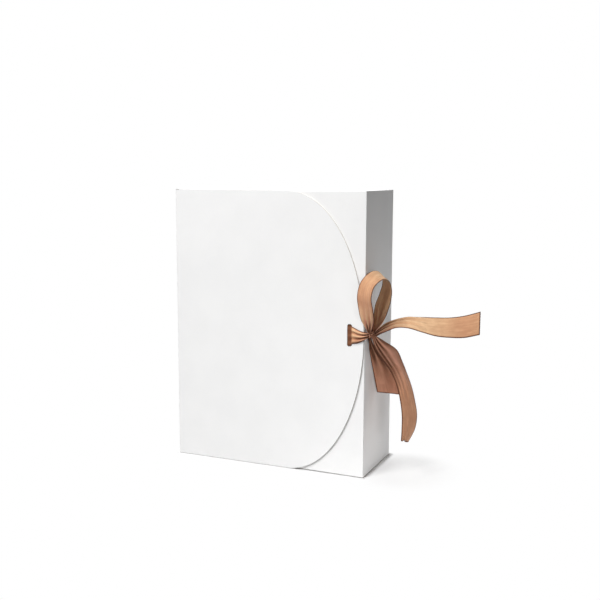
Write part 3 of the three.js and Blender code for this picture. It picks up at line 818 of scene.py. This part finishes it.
def notched(depth, place, width):
    """A small notch in a cut end, at a share of its width and as wide as another share."""
    across = np.linspace(0, 1, CROSS_STEPS + 1)
    return depth * np.exp(-((across - place) / width) ** 2)


# The knot: a band of gathered ribbon that goes once round the strands, and the way that it faces
KNOT_AXIS = Vector((0.34, 0.1, -0.93)).normalized()
KNOT_FACING = Vector((0.35, -0.9, 0)).normalized()
KNOT_WIDTH = 5.4 * MM
KNOT_RADIUS_ACROSS = 4.1 * MM
KNOT_RADIUS_DEEP = 3.3 * MM
KNOT_EDGE_INSET = 1.1 * MM
KNOT_HALF_THICKNESS = 0.75 * MM
KNOT_TURN_STEPS = 96
KNOT_RIM_STEPS = 40

# How its width swells, how its edges stay square, how its folds rise and wander, and how the band runs askew
KNOT_SWELL_SHARE = 0.12
KNOT_SWELL_START = 0.6
KNOT_SQUARE_POWER = 0.85
KNOT_FOLDS = 3
KNOT_FOLD_RISE = 0.55 * MM
KNOT_FOLD_WANDER_SHARE = 0.06
KNOT_SKEW = 0.5 * MM
KNOT_SKEW_START = 0.9

# The painted shade of its valleys, how much lighter its folds are painted, its painted rosy tint of shade,
# and how far its weave reaches each way
KNOT_VALLEY_PAINTED_SHADE = -1.4
KNOT_FOLD_PAINTED_LIGHT = 1.8
KNOT_PAINTED_SHADE_TINT = 0.6
KNOT_WEAVE_SHARE = 0.45


def add_knot(finish):
    """A pleated ring with rounded edges, flattened from front to back."""
    outward = (KNOT_FACING - KNOT_AXIS * KNOT_FACING.dot(KNOT_AXIS)).normalized()
    sideways = KNOT_AXIS.cross(outward)
    vertices, weave, looks = [], [], []
    for i in range(KNOT_TURN_STEPS):
        turn = 2 * math.pi * i / KNOT_TURN_STEPS
        half = KNOT_WIDTH / 2 * (1 + KNOT_SWELL_SHARE * math.sin(2 * turn + KNOT_SWELL_START))
        skew = KNOT_SKEW * math.sin(turn + KNOT_SKEW_START)
        wander = KNOT_FOLD_WANDER_SHARE * math.sin(turn)
        for j in range(KNOT_RIM_STEPS):
            angle = 2 * math.pi * (j / KNOT_RIM_STEPS)
            across, out = math.cos(angle), math.sin(angle)
            along = half * math.copysign(abs(across) ** KNOT_SQUARE_POWER, across)
            fold = 0.5 + 0.5 * math.cos(2 * math.pi * KNOT_FOLDS * (along / (2 * half) + wander))
            thick = KNOT_HALF_THICKNESS * out + KNOT_FOLD_RISE * fold * max(0.0, out)
            to_side = (KNOT_RADIUS_ACROSS - KNOT_EDGE_INSET + thick) * math.sin(turn)
            to_front = (KNOT_RADIUS_DEEP - KNOT_EDGE_INSET + thick) * math.cos(turn)
            vertices.append(KNOT + KNOT_AXIS * (along + skew) + sideways * to_side + outward * to_front)
            weave.append((turn * KNOT_RADIUS_ACROSS, RIBBON * (0.5 + KNOT_WEAVE_SHARE * across)))
            # Painted shade in the valleys of the knot's folds, painted light on their crests, and a painted
            # rosy tint of shade
            looks.append((KNOT_VALLEY_PAINTED_SHADE + KNOT_FOLD_PAINTED_LIGHT * fold, KNOT_PAINTED_SHADE_TINT))
    faces = []
    for i in range(KNOT_TURN_STEPS):
        this, following = i * KNOT_RIM_STEPS, (i + 1) % KNOT_TURN_STEPS * KNOT_RIM_STEPS
        for j in range(KNOT_RIM_STEPS):
            k = (j + 1) % KNOT_RIM_STEPS
            faces.append((this + j, following + j, following + k, this + k))
    looks = np.transpose(looks)
    piece = finished_mesh("knot_band", np.array(vertices), faces, np.array(weave), looks, finish)
    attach(piece, "outer_flap")
    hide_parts("ribbon_knot")


# Seed of the cut ends' frayed threads
FRAY_SEED = 11


def add_bow(finish):
    """The knot and the five strands. The cut ends draw their threads in this order."""
    chance = np.random.default_rng(FRAY_SEED)
    add_knot(finish)
    add_flap_ribbon(finish)
    add_loop(finish)
    add_long_tail(finish, chance)
    add_hanging_tail(finish, chance)
    add_side_ribbon(finish, chance)


def dress_nodes(cloth):
    """Gives every node of the frame the finish of its material slot."""
    wrap = {
        "bright": WRAP_BRIGHT,
        "clouded": WRAP_CLOUDED,
        "roughness": 0.62,
        "fibre": WRAP_FIBRE_SCALE,
        "grain": 0.12,
    }
    lining = {
        "bright": LINING_BRIGHT,
        "clouded": LINING_CLOUDED,
        "roughness": 0.85,
        "fibre": LINING_FIBRE_SCALE,
        "grain": 0.3,
    }
    # The outer flap's wrap carries painted shade on its edges that face the lower right
    flap_wrap = paper_finish("white_wrap_painted_edge_shade", **wrap, turned=WRAP_TURNED_EDGE)
    finishes = {
        "greyboard": board_finish(),
        # The wrap paper carries painted shade along its foot
        "wrap_paper": paper_finish("white_wrap_paper", **wrap, foot=WRAP_PAINTED_FOOT_SHADE),
        "lining_paper": paper_finish("uncoated_lining", **lining),
        "ribbon": cloth,
    }
    slots = {part["node"]: part["material_slot"] for part in frame["record"]["subparts"]}
    for name, node in frame["nodes"].items():
        finish = flap_wrap if name == "outer_flap_wrap" else finishes[slots[name]]
        node.data.materials.clear()
        node.data.materials.append(finish)


# The floor: how far it reaches, where its bounce fades round the box, and the brighter patch at its right
FLOOR_REACH = 6.0
LIT_FLOOR = (0.32, 0.60)
PATCH_MIDDLE = (0.28, 0.02, 0.0)
PATCH_REACH = (0.12, 0.30)
FLOOR_FAR = grey(0.12)
FLOOR_LIT = grey(0.51)
FLOOR_PATCH = grey(0.92)
FLOOR_SEEN = grey(0.88)
WHITE = grey(1.0)

# The dark line where the box stands, and the soft shadow beside it, scaled by one over its reach
FOOTPRINT_HALF = (BOX_RIGHT, CASE_HIGH[1], 0.0)
CONTACT_REACH = (1.5 * MM, 7 * MM)
SHADOW_MIDDLE = (146 * MM, -4 * MM, 0.0)
SHADOW_SCALE = (15.0, 14.0, 0.0)
SHADOW_FADE = (0.3, 1.0)
SHADOW_SHARE = 0.44


def stage_floor():
    """A white sweep: plain white to the camera, with the box's shadow under it and beside it, and as a light
    brighter near the box than away from it."""
    finish = Finish("white_sweep", Roughness=1.0, Specular_IOR_Level=0.0)
    place = finish.place()
    near_box = finish.length(place).ramp(*LIT_FLOOR, 1.0, 0.0)
    from_patch = finish.length(finish.vector("SUBTRACT", place, PATCH_MIDDLE))
    around = finish.mix(near_box, FLOOR_FAR, FLOOR_LIT)
    lit = finish.mix(from_patch.ramp(*PATCH_REACH, 1.0, 0.0), around, FLOOR_PATCH)
    direct = finish.seen_directly()
    finish.feed("Base Color", finish.mix(direct, lit, FLOOR_SEEN))
    beside = finish.vector("SUBTRACT", finish.vector("ABSOLUTE", place, (0, 0, 0)), FOOTPRINT_HALF)
    contact = finish.length(finish.vector("MAXIMUM", beside, (0, 0, 0))).ramp(*CONTACT_REACH)
    offset = finish.stretched(finish.vector("SUBTRACT", place, SHADOW_MIDDLE), SHADOW_SCALE)
    shadow = finish.length(offset).ramp(*SHADOW_FADE, SHADOW_SHARE, 1.0)
    plain = finish.node("ShaderNodeEmission", None, {"Color": WHITE, "Strength": 1.0})
    lit_floor = Socket(finish, finish.shader.outputs[0])
    shown = finish.node("ShaderNodeMixShader", None, {0: direct * (contact * shadow), 1: lit_floor, 2: plain})
    finish.tree.links.new(shown.link, finish.tree.nodes["Material Output"].inputs["Surface"])
    mesh = bpy.data.meshes.new("floor")
    r = FLOOR_REACH
    mesh.from_pydata([(-r, -r, 0), (r, -r, 0), (r, r, 0), (-r, r, 0)], [], [(0, 1, 2, 3)])
    mesh.materials.append(finish.material)
    floor = bpy.data.objects.new("floor", mesh)
    bpy.context.scene.collection.objects.link(floor)


def stage_world(strength):
    """White where it is seen, and faint as a light."""
    world = bpy.data.worlds.new("studio")
    bpy.context.scene.world = world
    nodes = Nodes(world)
    values = {"Value": nodes.seen_directly(), "To Min": strength, "To Max": 1.0}
    level = nodes.node("ShaderNodeMapRange", None, values)
    background = nodes.tree.nodes["Background"]
    background.inputs["Color"].default_value = WHITE
    nodes.tree.links.new(level.link, background.inputs["Strength"])


# What the lamps are aimed at
BOX_MIDDLE = (0.0, 0.0, 0.15)
SIDE_FOOT = (0.11, 0.0, 0.055)
UNDER_TAILS = (0.1125, -0.01, 0.1)

# How strong the world is as a light
WORLD_LIGHT = 0.035

# The low light along the side wall, shared by azimuth between three lamps, so that its edge is soft
LOW_SIDE_POWER = 0.28
LOW_SIDE_SHARES = {126: 0.3, 140: 0.4, 154: 0.3}


def add_lamp(name, azimuth, elevation, distance, size, power, aim=BOX_MIDDLE, spread=180):
    """A soft square lamp aimed at a point of the box; azimuth 0 is in front, 90 to the right."""
    a, e = math.radians(azimuth), math.radians(elevation)
    toward = Vector((math.sin(a) * math.cos(e), -math.cos(a) * math.cos(e), math.sin(e)))
    data = bpy.data.lights.new(name, "AREA")
    data.energy = power
    data.size = size
    data.spread = math.radians(spread)
    lamp = bpy.data.objects.new(name, data)
    lamp.location = Vector(aim) + toward * distance
    lamp.rotation_euler = toward.to_track_quat("Z", "Y").to_euler()
    bpy.context.scene.collection.objects.link(lamp)


def add_lamps():
    add_lamp("key", azimuth=-14, elevation=47, distance=2.0, size=1.1, power=48)
    add_lamp("back_fill", azimuth=-155, elevation=25, distance=2.4, size=1.2, power=3, spread=60)
    add_lamp(
        "low_front", azimuth=50, elevation=5, distance=0.9, size=0.25,
        power=0.03, aim=UNDER_TAILS, spread=20,
    )
    for azimuth, share in LOW_SIDE_SHARES.items():
        add_lamp(
            "low_side", azimuth, elevation=16, distance=1.0, size=0.7,
            power=LOW_SIDE_POWER * share, aim=SIDE_FOOT, spread=34,
        )


cloth = ribbon_finish()
make_camera()
dress_nodes(cloth)
add_bow(cloth)
stage_floor()
stage_world(WORLD_LIGHT)
add_lamps()
bpy.context.scene.view_settings.view_transform = "Standard"
